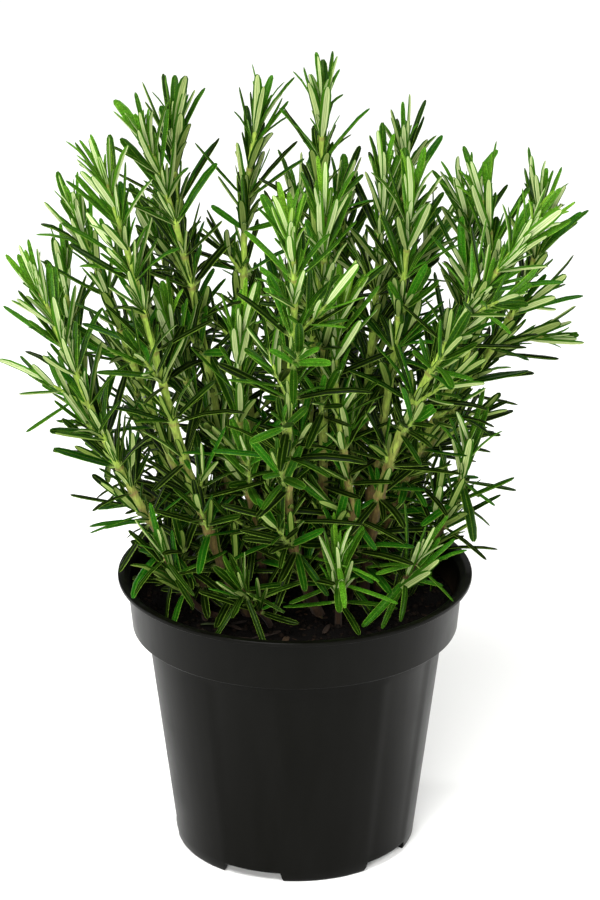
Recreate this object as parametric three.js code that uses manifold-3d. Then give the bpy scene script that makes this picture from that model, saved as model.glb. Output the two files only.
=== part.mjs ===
// A potted rosemary plant: a black moulded nursery pot, its soil, and a clump of rooted leafy stems.
// Millimetres, +Z up. The origin is on the ground at the pot's axis, and the viewer stands at -Y.

import * as THREE from 'three';
import { mergeVertices } from 'three/addons/utils/BufferGeometryUtils.js';
import Module from 'manifold-3d';

const wasm = await Module();
wasm.setup();

// Pot
const potHeight = 114;
const potSides = 40;
const lipRadius = 70;
const lipInnerRadius = 67.2;
const lipThickness = 1.6;
const lipRound = 0.7;
const collarTopRadius = 66.4;
const collarBottomRadius = 64.4;
const collarBottomZ = 92;
const bodyTopRadius = 58.9;
const bodyTopZ = 91;
const bodyBottomRadius = 47.7;
const baseEdgeRound = 1.6;
const footOuterRadius = 46.9;
const footInnerRadius = 44.6;
const footHeight = 4;
const wall = 1.4;
const floorThickness = 1.5;

// Five notches let water out under the foot, each below a shallow flute in the side of the pot
const notchCount = 5;
const firstNotchAngle = THREE.MathUtils.degToRad(-21);
const notchTopHalfWidth = 11.6;
const notchSlant = 1.3;
const notchSolePast = 1;
const fluteAngle = THREE.MathUtils.degToRad(30);
const fluteDepth = 0.5;
const fluteBottomZ = 5;
const fluteTopZ = 87;
const fluteSides = 4;
const flutePast = 15;

// Drain holes in the floor
const drainRadius = 4;
const drainRing = 29;
const drainSides = 8;

// Soil
const soilTopZ = 100;
const soilRelief = 0.7;
const soilSides = 20;
const soilRings = [56, 46, 35, 23, 11];
const seatGap = 0.3;
const rootDepth = 10;
const rootCollar = 1.5;
const holeSides = 4;
const holeClearance = 1.1;

// Stems
const stemSides = 4;
const stemStep = 24;
const stemTipRadius = 0.8;
const stemTipLength = 3;

// Leaves: a three-sided needle, whose widest ring stands part of the way along it
const leafSides = 3;
const leafWideRadius = 1.9;
const leafWideAt = 0.6;
const leafFlatness = 0.55;
const leafNeck = 0.12;
const leafHalfWidth = leafWideRadius * Math.sin(Math.PI / leafSides);
const leafGap = 0.35;
const aboveSoil = 3;
const aboveRim = 3;
const insideRim = 7;
const halfWidthLimit = 113.5;
const halfDepthLimit = 83;
const topLimit = 326;

// How the leaf pairs change from a stem's tip downward: millimetres along it, degrees away from it
const growth = {
  firstPair: 2, bareFoot: 9,
  tipSpacing: 4, moreSpacing: 9, spacingOver: 34, spacingJitter: 3,
  tipSpread: 12, moreSpread: 68, spreadOver: 60, spreadJitter: 9,
  tipLength: 21, moreLength: 7, lengthOver: 26, lengthJitter: 2.5,
  tipCurl: -0.03, moreCurl: 0.1, curlJitter: 0.05,
  turnJitter: 0.22,
};

// Ways to bend a leaf clear of a neighbour, tried in order: radians round the stem, radians away from it,
// and a share of its length
const dodges = [
  [0, 0, 1], [0.35, 0, 1], [-0.35, 0, 1], [0, -0.25, 1], [0, 0.25, 1], [0.6, 0, 0.9], [-0.6, 0, 0.9],
  [0.3, -0.3, 0.85], [-0.3, -0.3, 0.85], [0, 0, 0.75], [0.5, 0.25, 0.7], [-0.5, 0.25, 0.7], [0, -0.3, 0.6],
];

// Tolerances: vertices nearer than this are one, and two directions less skew than this are parallel
const weldWithin = 1e-4;
const parallelBelow = 1e-9;

// Repeatable draws
const plantSeed = 61;
const drawFor = { turn: 1, azimuth: 2, spread: 3, length: 4, curl: 5, spacing: 6, soil: 7 };
const hashSteps = [7919, 911, 101];
const hashFactors = [0x9e3779b1, 0x85ebca6b, 0xc2b2ae35];

const potMaterial = new THREE.MeshStandardMaterial({ color: 0x23221f, roughness: 0.42, metalness: 0 });
const soilMaterial = new THREE.MeshStandardMaterial({ color: 0x1c1712, roughness: 0.95, metalness: 0 });
const leafMaterial = new THREE.MeshStandardMaterial({ color: 0x3f7a24, roughness: 0.5, metalness: 0 });

// Each stem is a smooth line through four points, from the soil to its growing tip, and a radius at the soil
const stems = {
  stem_left_outer: { radius: 1.8, points: [[-25, 10, 100], [-47, 8, 154], [-66, 2, 210], [-83, -4, 262]] },
  stem_left_low: { radius: 1.8, points: [[-30, -3, 100], [-57, -12, 141], [-77, -18, 186], [-97, -22, 240]] },
  stem_left_behind: { radius: 1.6, points: [[-30, 24, 100], [-54, 30, 128], [-79, 34, 163], [-90, 36, 229]] },
  stem_left_tall: { radius: 1.9, points: [[-18, 13, 100], [-29, 8, 166], [-40, 4, 232], [-56, 2, 290]] },
  stem_back_left_tall: { radius: 1.8, points: [[-17, 30, 100], [-28, 33, 156], [-42, 38, 228], [-47, 42, 284]] },
  stem_front_left: { radius: 2.0, points: [[-19, -13, 100], [-40, -22, 161], [-56, -30, 229], [-70, -36, 287]] },
  stem_middle_left_tall: { radius: 1.8, points: [[-9, 22, 100], [-17, 25, 163], [-20, 27, 232], [-14, 28, 291]] },
  stem_topmost: { radius: 2.0, points: [[3, 15, 100], [5, 14, 168], [9, 12, 236], [10, 12, 304]] },
  stem_back_right_tall: { radius: 1.8, points: [[17, 33, 100], [23, 36, 155], [36, 40, 219], [43, 42, 275]] },
  stem_right_tall: { radius: 1.8, points: [[33, 11, 100], [45, 6, 154], [69, 2, 212], [71, 0, 269]] },
  stem_right_inner_tall: { radius: 1.7, points: [[25, 24, 100], [40, 24, 151], [62, 24, 208], [65, 24, 259]] },
  stem_front_right: { radius: 2.1, points: [[27, -3, 100], [37, -14, 166], [59, -26, 221], [88, -36, 268]] },
  stem_right_outer: { radius: 1.8, points: [[38, 21, 100], [51, 16, 156], [81, 12, 211], [94, 8, 264]] },
  stem_right_drooping: { radius: 1.6, points: [[33, 31, 100], [42, 33, 146], [66, 34, 184], [99, 34, 199]] },
  stem_front_middle: { radius: 2.1, points: [[9, -13, 100], [-3, -34, 164], [-1, -52, 224], [-2, -64, 276]] },
  stem_short_left: { radius: 1.5, points: [[-11, -2, 100], [-16, -10, 140], [-21, -14, 181], [-20, -16, 220]] },
  stem_front_inner: { radius: 1.9, points: [[11, 0, 100], [11, -12, 161], [11, -24, 221], [11, -32, 273]] },
  stem_short_right: { radius: 1.6, points: [[20, -8, 100], [22, -16, 148], [16, -24, 195], [19, -28, 236]] },
  stem_middle_right: { radius: 1.8, points: [[22, 14, 100], [26, 12, 160], [31, 10, 220], [34, 8, 272]] },
  stem_behind_topmost: { radius: 1.7, points: [[8, 27, 100], [14, 25, 151], [17, 27, 205], [19, 28, 256]] },
  stem_right_middle: { radius: 1.8, points: [[21, 4, 100], [32, 0, 161], [40, -4, 221], [44, -8, 270]] },
  stem_right_low: { radius: 1.4, points: [[41, 11, 100], [53, 10, 119], [63, 8, 140], [68, 4, 170]] },
  stem_left_inner: { radius: 1.5, points: [[-13, 7, 100], [-20, 2, 149], [-37, -2, 184], [-48, -6, 220]] },
  sprout_front: { radius: 1.3, points: [[17, -24, 100], [17, -26, 110], [17, -27, 120], [17, -27, 130]] },
  sprout_front_right: { radius: 1.2, points: [[34, -12, 100], [38, -14, 108], [43, -15, 116], [48, -15, 125]] },
  sprout_left: { radius: 1.3, points: [[-33, -15, 100], [-40, -18, 108], [-46, -20, 118], [-51, -21, 130]] },
  sprout_front_left: { radius: 1.2, points: [[-10, -24, 100], [-13, -29, 108], [-17, -34, 115], [-20, -38, 123]] },
  stem_back_left: { radius: 1.7, points: [[-20, 41, 100], [-33, 49, 145], [-45, 57, 190], [-55, 62, 236]] },
  stem_back: { radius: 1.8, points: [[-4, 38, 100], [-6, 49, 150], [-4, 59, 200], [2, 66, 248]] },
  stem_back_right: { radius: 1.7, points: [[12, 44, 100], [24, 51, 144], [40, 58, 188], [54, 62, 230]] },
  stem_back_left_low: { radius: 1.5, points: [[-31, 36, 100], [-45, 47, 122], [-58, 56, 148], [-68, 60, 182]] },
  stem_back_low: { radius: 1.5, points: [[4, 49, 100], [6, 57, 126], [10, 64, 152], [14, 67, 182]] },
  stem_back_right_low: { radius: 1.5, points: [[28, 43, 100], [42, 50, 122], [56, 54, 148], [68, 56, 178]] },
};

// A repeatable draw from 0 to 1 for one leaf of one stem, so that the plant always grows the same way
function draw(stem, leaf, which) {
  const key = stem * hashSteps[0] + leaf * hashSteps[1] + which * hashSteps[2] + plantSeed;
  let hash = Math.imul(key, hashFactors[0]) >>> 0;
  hash = Math.imul((hash ^ (hash >>> 15)) >>> 0, hashFactors[1]) >>> 0;
  hash = Math.imul((hash ^ (hash >>> 13)) >>> 0, hashFactors[2]) >>> 0;
  return ((hash ^ (hash >>> 16)) >>> 0) / 2 ** 32;
}

// The same, from -1 to 1
function jitter(stem, leaf, which) {
  return draw(stem, leaf, which) * 2 - 1;
}

// One closed solid from a closed geometry: seam and pole vertices are merged, collapsed triangles dropped
function solidOf(geometry) {
  geometry.deleteAttribute('normal');
  geometry.deleteAttribute('uv');
  const merged = mergeVertices(geometry, weldWithin);
  const index = merged.index.array;
  const kept = [];
  for (let i = 0; i < index.length; i += 3) {
    const [a, b, c] = [index[i], index[i + 1], index[i + 2]];
    if (a !== b && b !== c && c !== a) kept.push(a, b, c);
  }
  const vertProperties = new Float32Array(merged.attributes.position.array);
  return new wasm.Manifold(new wasm.Mesh({ numProp: 3, vertProperties, triVerts: new Uint32Array(kept) }));
}

function meshOf(name, solid, material) {
  const { vertProperties, triVerts } = solid.getMesh();
  const geometry = new THREE.BufferGeometry();
  geometry.setAttribute('position', new THREE.BufferAttribute(new Float32Array(vertProperties), 3));
  geometry.setIndex(new THREE.BufferAttribute(new Uint32Array(triVerts), 1));
  geometry.computeVertexNormals();
  const mesh = new THREE.Mesh(geometry, material);
  mesh.name = name;
  return mesh;
}

// A solid turned about the Z axis from [radius, z] pairs
function turned(profile, sides) {
  const points = profile.map(([r, z]) => new THREE.Vector2(r, z));
  return solidOf(new THREE.LatheGeometry(points, sides).rotateX(Math.PI / 2));
}

function bodyRadius(z) {
  return THREE.MathUtils.mapLinear(z, baseEdgeRound, bodyTopZ, bodyBottomRadius, bodyTopRadius);
}

// Inner surface of the pot, from the middle of the floor up to the lip
const innerProfile = [
  [0, footHeight + floorThickness],
  [bodyRadius(footHeight + floorThickness) - wall, footHeight + floorThickness],
  [bodyTopRadius - wall, bodyTopZ + wall],
  [collarBottomRadius - wall, collarBottomZ + wall],
  [collarTopRadius - wall, potHeight - lipThickness],
  [lipInnerRadius, potHeight],
];

function makePot() {
  const outer = [
    [0, footHeight],
    [footInnerRadius, footHeight],
    [footInnerRadius, 0],
    [footOuterRadius, 0],
    [bodyBottomRadius, baseEdgeRound],
    [bodyTopRadius, bodyTopZ],
    [collarBottomRadius, collarBottomZ],
    [collarTopRadius, potHeight - lipThickness],
    [lipRadius - lipRound, potHeight - lipThickness],
    [lipRadius, potHeight - lipThickness / 2],
    [lipRadius - lipRound, potHeight],
  ];
  let pot = turned([...outer, ...innerProfile.toReversed()], potSides);

  const notchShape = new THREE.Shape([
    new THREE.Vector2(-notchTopHalfWidth, footHeight),
    new THREE.Vector2(-notchTopHalfWidth - notchSlant, -notchSolePast),
    new THREE.Vector2(notchTopHalfWidth + notchSlant, -notchSolePast),
    new THREE.Vector2(notchTopHalfWidth, footHeight),
  ]);
  const notchLength = lipRadius - footInnerRadius / 2;
  for (let i = 0; i < notchCount; i += 1) {
    const angle = firstNotchAngle + (i * 2 * Math.PI) / notchCount;
    const notch = new THREE.ExtrudeGeometry(notchShape, { depth: notchLength, bevelEnabled: false });
    notch.translate(0, 0, footInnerRadius / 2).rotateX(Math.PI / 2).rotateZ(angle);
    pot = pot.subtract(solidOf(notch));
    pot = pot.subtract(makeFlute(angle));
    const drain = new THREE.CylinderGeometry(drainRadius, drainRadius, footHeight * 4, drainSides);
    drain.rotateX(Math.PI / 2).translate(0, -drainRing, 0).rotateZ(angle);
    pot = pot.subtract(solidOf(drain));
  }
  return meshOf('pot', pot, potMaterial);
}

// The slice that a flute takes out of the side of the pot, centred on one angle
function makeFlute(angle) {
  const skin = turned([
    [bodyRadius(fluteBottomZ) - fluteDepth, fluteBottomZ],
    [lipRadius, fluteBottomZ],
    [lipRadius, fluteTopZ],
    [bodyRadius(fluteTopZ) - fluteDepth, fluteTopZ],
    [bodyRadius(fluteBottomZ) - fluteDepth, fluteBottomZ],
  ], potSides);
  const wedge = new THREE.Shape([new THREE.Vector2(0, 0)]);
  for (let i = 0; i <= fluteSides; i += 1) {
    const a = (i / fluteSides - 0.5) * fluteAngle - Math.PI / 2;
    wedge.lineTo(Math.cos(a) * (lipRadius + flutePast), Math.sin(a) * (lipRadius + flutePast));
  }
  const slice = new THREE.ExtrudeGeometry(wedge, { depth: potHeight, bevelEnabled: false });
  slice.rotateZ(angle);
  return skin.intersect(solidOf(slice));
}

// Soil fills the pot to its top, with a lumpy surface and a plain hole for each stem
function makeSoil(grown) {
  const bottom = footHeight + floorThickness + seatGap;
  const top = soilRings.map((r) => [r, soilTopZ]);
  const shelfIn = bodyTopRadius - wall - seatGap;
  const shelfOut = collarBottomRadius - wall - seatGap;
  const collarIn = collarTopRadius - wall - seatGap;
  const topRadius = THREE.MathUtils.mapLinear(soilTopZ, collarBottomZ + wall, potHeight - lipThickness,
    shelfOut, collarIn);
  const profile = [
    [0, bottom],
    [bodyRadius(bottom) - wall - seatGap, bottom],
    [shelfIn, bodyTopZ + wall + seatGap],
    [shelfOut, collarBottomZ + wall + seatGap],
    [topRadius, soilTopZ],
    ...top,
    [0, soilTopZ],
  ];
  const points = profile.map(([r, z]) => new THREE.Vector2(r, z));
  const geometry = new THREE.LatheGeometry(points, soilSides).rotateX(Math.PI / 2);
  const position = geometry.attributes.position;
  for (let i = 0; i < position.count; i += 1) {
    const [x, y, z] = [position.getX(i), position.getY(i), position.getZ(i)];
    const fromAxis = Math.hypot(x, y);
    if (z < soilTopZ - weldWithin || fromAxis > soilRings[0] + seatGap) continue;
    const lump = jitter(Math.round(x) + potHeight, Math.round(y) + potHeight, drawFor.soil);
    position.setZ(i, z + lump * soilRelief);
  }
  let soil = solidOf(geometry);
  for (const stem of grown) {
    const [x, y] = stem.points[0].toArray();
    const radius = (stem.radius + leafGap) * holeClearance;
    const hole = new THREE.CylinderGeometry(radius, radius, rootDepth * 2, holeSides);
    hole.rotateX(Math.PI / 2).rotateZ(Math.PI / holeSides + stem.turn).translate(x, y, soilTopZ - seatGap);
    soil = soil.subtract(solidOf(hole));
  }
  return meshOf('soil', soil, soilMaterial);
}

// Smooth curve through four points at a third of its parameter each
function curveThrough([p0, p1, p2, p3]) {
  const mix = (a, b, c, d) => new THREE.Vector3()
    .addScaledVector(p0, a / 6).addScaledVector(p1, b / 6).addScaledVector(p2, c / 6).addScaledVector(p3, d / 6);
  return new THREE.CubicBezierCurve3(p0, mix(-5, 18, -9, 2), mix(2, -9, 18, -5), p3);
}

// Two directions square to a stem, the first one as near to +Y as it can be
function squareTo(tangent) {
  const first = new THREE.Vector3(0, 1, 0);
  first.addScaledVector(tangent, -first.dot(tangent)).normalize();
  return [first, new THREE.Vector3().crossVectors(tangent, first)];
}

function readStem([name, { radius, points }], index) {
  const at = points.map(([x, y, z]) => new THREE.Vector3(x, y, z));
  at[0].z = soilTopZ + rootCollar;
  const curve = curveThrough(at);
  const length = at[0].distanceTo(at[1]) + at[1].distanceTo(at[2]) + at[2].distanceTo(at[3]);
  const stem = { name, index, radius, curve, length, points: at, leaves: [] };
  stem.turn = draw(index, 0, drawFor.turn) * Math.PI;
  stem.radiusAt = (t) => THREE.MathUtils.lerp(radius, stemTipRadius, t);
  stem.pieces = Math.ceil(length / stemStep);
  stem.joints = curve.getPoints(stem.pieces);
  stem.bones = stem.joints.slice(1).map((to, i) => (
    { from: stem.joints[i], to, reach: stem.radiusAt(i / stem.pieces) }
  ));
  return stem;
}

// A point on the straight pieces that a stem is made of
function axisPoint(stem, t) {
  const piece = Math.min(Math.floor(t * stem.pieces), stem.pieces - 1);
  return stem.joints[piece].clone().lerp(stem.joints[piece + 1], t * stem.pieces - piece);
}

// The leaf pairs of a stem, from its tip down: each pair stands square to the one above it
function* leavesOf(stem) {
  const { index, length, turn } = stem;
  let fromTip = growth.firstPair;
  for (let pair = 0; fromTip < length - growth.bareFoot; pair += 1) {
    const open = 1 - Math.exp(-fromTip / growth.spreadOver);
    const grown = Math.min(fromTip / growth.lengthOver, 1);
    for (const side of [0, 1]) {
      const leaf = pair * 2 + side;
      const vary = (which, amount) => jitter(index, leaf, which) * amount;
      const spread = growth.tipSpread + growth.moreSpread * open + vary(drawFor.spread, growth.spreadJitter);
      yield {
        t: 1 - fromTip / length,
        azimuth: turn + (pair / 2 + side) * Math.PI + vary(drawFor.azimuth, growth.turnJitter),
        spread: THREE.MathUtils.degToRad(spread),
        length: growth.tipLength + growth.moreLength * grown + vary(drawFor.length, growth.lengthJitter),
        curl: growth.tipCurl + growth.moreCurl * open + vary(drawFor.curl, growth.curlJitter),
      };
    }
    fromTip += growth.tipSpacing + growth.moreSpacing * Math.min(fromTip / growth.spacingOver, 1)
      + growth.spacingJitter * draw(index, pair, drawFor.spacing);
  }
}

// Where a leaf runs: its root, direction, the face that looks at the stem, and its bent midrib
function layLeaf(stem, { t, azimuth, spread, length, curl }) {
  const tangent = stem.curve.getTangent(t);
  const [first, second] = squareTo(tangent);
  const out = first.multiplyScalar(Math.cos(azimuth)).addScaledVector(second, Math.sin(azimuth));
  const root = axisPoint(stem, t);
  const along = tangent.clone().multiplyScalar(Math.cos(spread)).addScaledVector(out, Math.sin(spread));
  const face = tangent.clone().multiplyScalar(Math.sin(spread)).addScaledVector(out, -Math.cos(spread));
  const at = (s) => root.clone().addScaledVector(along, s * length).addScaledVector(face, -curl * length * s * s);
  return { root, along, face, length, at };
}

// Whether a point of a leaf clears the soil and the rim, and stays in the bush
function isFree(point) {
  const clearOfRim = point.z > potHeight + aboveRim || Math.hypot(point.x, point.y) < lipInnerRadius - insideRim;
  return clearOfRim && point.z > soilTopZ + aboveSoil && point.z <= topLimit
    && Math.abs(point.x) <= halfWidthLimit && Math.abs(point.y) <= halfDepthLimit;
}

// Shortest distance between two straight pieces
function pieceDistance(a, b) {
  const u = new THREE.Vector3().subVectors(a.to, a.from);
  const v = new THREE.Vector3().subVectors(b.to, b.from);
  const w = new THREE.Vector3().subVectors(a.from, b.from);
  const [uu, uv, vv, uw, vw] = [u.dot(u), u.dot(v), v.dot(v), u.dot(w), v.dot(w)];
  const skew = uu * vv - uv * uv;
  let s = skew > parallelBelow ? THREE.MathUtils.clamp((uv * vw - vv * uw) / skew, 0, 1) : 0;
  const t = THREE.MathUtils.clamp((uv * s + vw) / vv, 0, 1);
  s = THREE.MathUtils.clamp((uv * t - uw) / uu, 0, 1);
  return w.addScaledVector(u, s).addScaledVector(v, -t).length();
}

function bonesOf(leaf) {
  const mid = leaf.at(leafWideAt);
  return [
    { from: leaf.at(leafNeck), to: mid, reach: leafHalfWidth },
    { from: mid, to: leaf.at(1), reach: leafHalfWidth },
  ];
}

function isClear(bones, others) {
  for (const bone of bones) {
    for (const other of others) {
      if (pieceDistance(bone, other) < bone.reach + other.reach + leafGap) return false;
    }
  }
  return true;
}

function growLeaf(stem, wish, others) {
  for (const [turn, open, shorter] of dodges) {
    const leaf = layLeaf(stem, {
      ...wish, azimuth: wish.azimuth + turn, spread: wish.spread + open, length: wish.length * shorter,
    });
    if (isFree(leaf.at(leafWideAt)) && isFree(leaf.at(1)) && isClear(bonesOf(leaf), others)) return leaf;
  }
  return null;
}

function growPlant() {
  const grown = Object.entries(stems).map(readStem);
  for (const stem of grown) {
    const neighbours = grown.filter((other) => other !== stem);
    const others = neighbours.flatMap((other) => [...other.bones, ...other.leaves.flatMap(bonesOf)]);
    for (const wish of leavesOf(stem)) {
      const leaf = growLeaf(stem, wish, others);
      if (leaf) stem.leaves.push(leaf);
    }
  }
  return grown;
}

function makeStemSolid(stem) {
  const profile = [new THREE.Vector2(0, -rootDepth), new THREE.Vector2(1, -rootDepth)];
  for (let i = 0; i < stem.pieces; i += 1) profile.push(new THREE.Vector2(1, i / stem.pieces));
  profile.push(new THREE.Vector2(1, 1 - stemTipLength / stem.length), new THREE.Vector2(0, 1));
  const geometry = new THREE.LatheGeometry(profile, stemSides).rotateY(Math.PI / stemSides + stem.turn);
  const position = geometry.attributes.position;
  for (let i = 0; i < position.count; i += 1) {
    const t = Math.max(position.getY(i), 0);
    const below = Math.min(position.getY(i), 0);
    const tangent = t > 0 ? stem.curve.getTangent(t) : new THREE.Vector3(0, 0, 1);
    const [first, second] = squareTo(tangent);
    const point = axisPoint(stem, t).addScaledVector(first, position.getX(i) * stem.radiusAt(t))
      .addScaledVector(second, -position.getZ(i) * stem.radiusAt(t));
    position.setXYZ(i, point.x, point.y, point.z + below - (below < 0 ? rootCollar : 0));
  }
  return solidOf(geometry);
}

// A needle: three-sided, flat above and keeled below, widest past its middle
function makeLeafSolid(leaf) {
  const profile = [[0, 0], [leafWideRadius, leafWideAt], [0, 1]];
  const geometry = new THREE.LatheGeometry(profile.map(([r, s]) => new THREE.Vector2(r, s)), leafSides);
  const across = new THREE.Vector3().crossVectors(leaf.face, leaf.along);
  const position = geometry.attributes.position;
  for (let i = 0; i < position.count; i += 1) {
    const point = leaf.at(position.getY(i)).addScaledVector(across, position.getX(i))
      .addScaledVector(leaf.face, -position.getZ(i) * leafFlatness);
    position.setXYZ(i, point.x, point.y, point.z);
  }
  return solidOf(geometry);
}

function makeLeafyStem(stem) {
  const pieces = [makeStemSolid(stem), ...stem.leaves.map(makeLeafSolid)];
  return meshOf(stem.name, wasm.Manifold.union(pieces), leafMaterial);
}

const grown = growPlant();
const plant = new THREE.Group();
plant.add(makePot());
plant.add(makeSoil(grown));
for (const stem of grown) plant.add(makeLeafyStem(stem));

export default plant;
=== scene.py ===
import random
from functools import partial
from math import atan2, ceil, copysign, cos, exp, hypot, pi, radians, sin, sqrt

import bmesh
import bpy
import numpy as np
from mathutils import Matrix, Vector, noise


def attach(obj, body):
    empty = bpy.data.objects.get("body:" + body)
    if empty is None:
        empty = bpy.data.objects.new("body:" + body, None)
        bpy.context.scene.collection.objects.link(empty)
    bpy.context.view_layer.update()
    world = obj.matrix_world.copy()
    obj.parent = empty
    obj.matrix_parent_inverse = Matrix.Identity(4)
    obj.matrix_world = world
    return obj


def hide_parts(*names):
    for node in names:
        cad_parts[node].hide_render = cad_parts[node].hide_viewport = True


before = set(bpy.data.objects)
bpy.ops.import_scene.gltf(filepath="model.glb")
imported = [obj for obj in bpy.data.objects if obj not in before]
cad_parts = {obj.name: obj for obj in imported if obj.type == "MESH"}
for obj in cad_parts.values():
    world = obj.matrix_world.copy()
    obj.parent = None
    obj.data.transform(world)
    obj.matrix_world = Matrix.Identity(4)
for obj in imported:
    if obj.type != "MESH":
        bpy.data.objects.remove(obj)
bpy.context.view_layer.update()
mm = 0.001
weldWithin = 0.001  # millimetres


def addObject(name, data):
    made = bpy.data.objects.new(name, data)
    bpy.context.scene.collection.objects.link(made)
    return made


# Camera: the photograph's view, worked out from the pot's rim, foot and soil
view = {
    "target": (2, 0, 165), "distance": 1600, "elevation": 22,
    "lens": 163.84, "sensor": 36,
    "clipEnd": 50,  # metres
}


def addCamera():
    data = bpy.data.cameras.new("photo_view")
    data.lens = view["lens"]
    data.sensor_width = view["sensor"]
    data.clip_end = view["clipEnd"]
    camera = addObject("photo_view", data)
    tilt = radians(view["elevation"])
    away = Vector((0, -cos(tilt), sin(tilt))) * view["distance"]
    camera.location = (Vector(view["target"]) + away) * mm
    camera.rotation_euler = (pi / 2 - tilt, 0, 0)
    bpy.context.scene.camera = camera


addCamera()
print("camera placed")


def linearColour(hexText):
    channels = [int(hexText[i:i + 2], 16) / 255 for i in (0, 2, 4)]
    return [c / 12.92 if c <= 0.04045 else ((c + 0.055) / 1.055) ** 2.4 for c in channels] + [1]


# Links outputs to a node's sockets and sets colours and numbers on them
def fillSockets(tree, node, sockets):
    for key, value in sockets.items():
        if isinstance(value, bpy.types.NodeSocket):
            tree.links.new(value, node.inputs[key])
        else:
            node.inputs[key].default_value = linearColour(value) if isinstance(value, str) else value


# Adds a node and gives one of its outputs. Stops are a ramp's places and colours
def addNode(tree, kind, sockets, stops=(), output=0, **settings):
    node = tree.nodes.new("ShaderNode" + kind)
    for key, value in settings.items():
        setattr(node, key, value)
    fillSockets(tree, node, sockets)
    for i, (place, colour) in enumerate(stops):
        elements = node.color_ramp.elements
        element = elements[i] if i < len(elements) else elements.new(place)
        element.position = place
        element.color = linearColour(colour) if isinstance(colour, str) else [colour] * 3 + [1]
    return node.outputs[output]


# A new material, and the function that adds nodes to it
def newMaterial(name):
    material = bpy.data.materials.new(name)
    material.use_nodes = True
    return material, partial(addNode, material.node_tree)


def finishMaterial(material, sockets):
    tree = material.node_tree
    fillSockets(tree, tree.nodes["Principled BSDF"], sockets)
    return material


def finishMesh(name, bm, materials, sharpAngle=None):
    bmesh.ops.scale(bm, vec=(mm, mm, mm), verts=bm.verts)
    mesh = bpy.data.meshes.new(name)
    bm.to_mesh(mesh)
    bm.free()
    for material in materials:
        mesh.materials.append(material)
    for polygon in mesh.polygons:
        polygon.use_smooth = True
    if sharpAngle:
        mesh.set_sharp_from_angle(angle=radians(sharpAngle))
    return addObject(name, mesh)


# Floor and light: a pale floor under one large soft key, with strips at the sides for the pot's edges
studio = {
    "floorSize": 9000, "floorColour": "fafaf8",
    "worldColour": "ffffff", "worldStrength": 0.13,
    # name: (place, size across, size up, watts)
    "lamps": {
        "key": ((-500, -1000, 1700), 800, 800, 40),
        "front": ((-350, -1750, 750), 600, 600, 31),
        "fill": ((1000, -900, 1200), 700, 700, 12),
        "left_strip": ((-1100, 250, 450), 220, 900, 5),
        "right_strip": ((1100, 350, 450), 220, 900, 7),
        "back_top": ((100, 1500, 1500), 1200, 700, 16),
    },
    "aim": (0, 0, 150),
}


def makeStudio():
    bm = bmesh.new()
    bmesh.ops.create_grid(bm, x_segments=1, y_segments=1, size=studio["floorSize"] / 2)
    paper = newMaterial("studio_paper")[0]
    finishMaterial(paper, {"Base Color": studio["floorColour"], "Roughness": 0.9, "Specular IOR Level": 0.1})
    floor = finishMesh("studio_floor", bm, [paper])

    world = bpy.data.worlds.new("studio_world")
    world.use_nodes = True
    fillSockets(world.node_tree, world.node_tree.nodes["Background"],
                {"Color": studio["worldColour"], "Strength": studio["worldStrength"]})
    bpy.context.scene.world = world

    for name, (place, across, up, watts) in studio["lamps"].items():
        data = bpy.data.lights.new(name, "AREA")
        data.shape = "RECTANGLE"
        data.size = across * mm
        data.size_y = up * mm
        data.energy = watts
        lamp = addObject(name, data)
        lamp.location = Vector(place) * mm
        toAim = Vector(studio["aim"]) - Vector(place)
        lamp.rotation_euler = toAim.to_track_quat("-Z", "Y").to_euler()
    bpy.context.scene.view_settings.view_transform = "Standard"


makeStudio()
print("studio ready")


# Pot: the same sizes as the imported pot, spun finer
pot = {
    "height": 114, "segments": 240, "wall": 1.4, "floorThickness": 1.5,
    "lipRadius": 70, "lipInnerRadius": 67.2, "lipThickness": 1.6,
    "collarTopRadius": 66.4, "collarBottomRadius": 64.4, "collarBottomZ": 92,
    "bodyTopRadius": 58.9, "bodyTopZ": 91, "bodyBottomRadius": 47.7, "baseEdgeRound": 1.6,
    "footOuterRadius": 46.9, "footInnerRadius": 44.6, "footHeight": 4,
    # corners sharper than this are rounded
    "cornerAngle": 20, "edgeRound": 0.45, "edgeSteps": 3,
    "notchCount": 5, "firstNotch": -21, "notchHalfWidth": 11.6, "notchSlant": 1.3, "notchReach": 12,
    "cutBelow": 1,
    "drainRadius": 4, "drainRing": 29, "drainSegments": 32, "drainCut": 12,
    "fluteAngle": 30, "fluteDepth": 0.5, "fluteSide": 4, "fluteZ": (5, 87), "fluteEnd": 2,
    "nearWall": 0.05, "ringMargin": 0.1,
    "sharpAngle": 28,
    # heights at which the dried soil on the inside sets in and is full, from below and from above
    "bloomFoot": (95.5, 96.5), "bloomTop": (109, 98.5),
}


def bodyRadius(z):
    share = (z - pot["baseEdgeRound"]) / (pot["bodyTopZ"] - pot["baseEdgeRound"])
    return pot["bodyBottomRadius"] + (pot["bodyTopRadius"] - pot["bodyBottomRadius"]) * share


# The inner wall of the pot from below, or a wall that lies inside it
def innerWall(bottom, wall):
    return [
        (bodyRadius(bottom) - wall, bottom),
        (pot["bodyTopRadius"] - wall, pot["bodyTopZ"] + wall),
        (pot["collarBottomRadius"] - wall, pot["collarBottomZ"] + wall),
    ]


# Spins a profile of (radius, z) points round the Z axis, closed at the axis and at the seam
def spinProfile(bm, profile, segments):
    verts = [bm.verts.new((r, 0, z)) for r, z in profile]
    edges = [bm.edges.new(pair) for pair in zip(verts, verts[1:])]
    bmesh.ops.spin(bm, geom=verts + edges, cent=(0, 0, 0), axis=(0, 0, 1), angle=2 * pi,
                   steps=segments, use_merge=True)
    bmesh.ops.remove_doubles(bm, verts=bm.verts, dist=weldWithin)
    bmesh.ops.recalc_face_normals(bm, faces=bm.faces)


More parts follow.
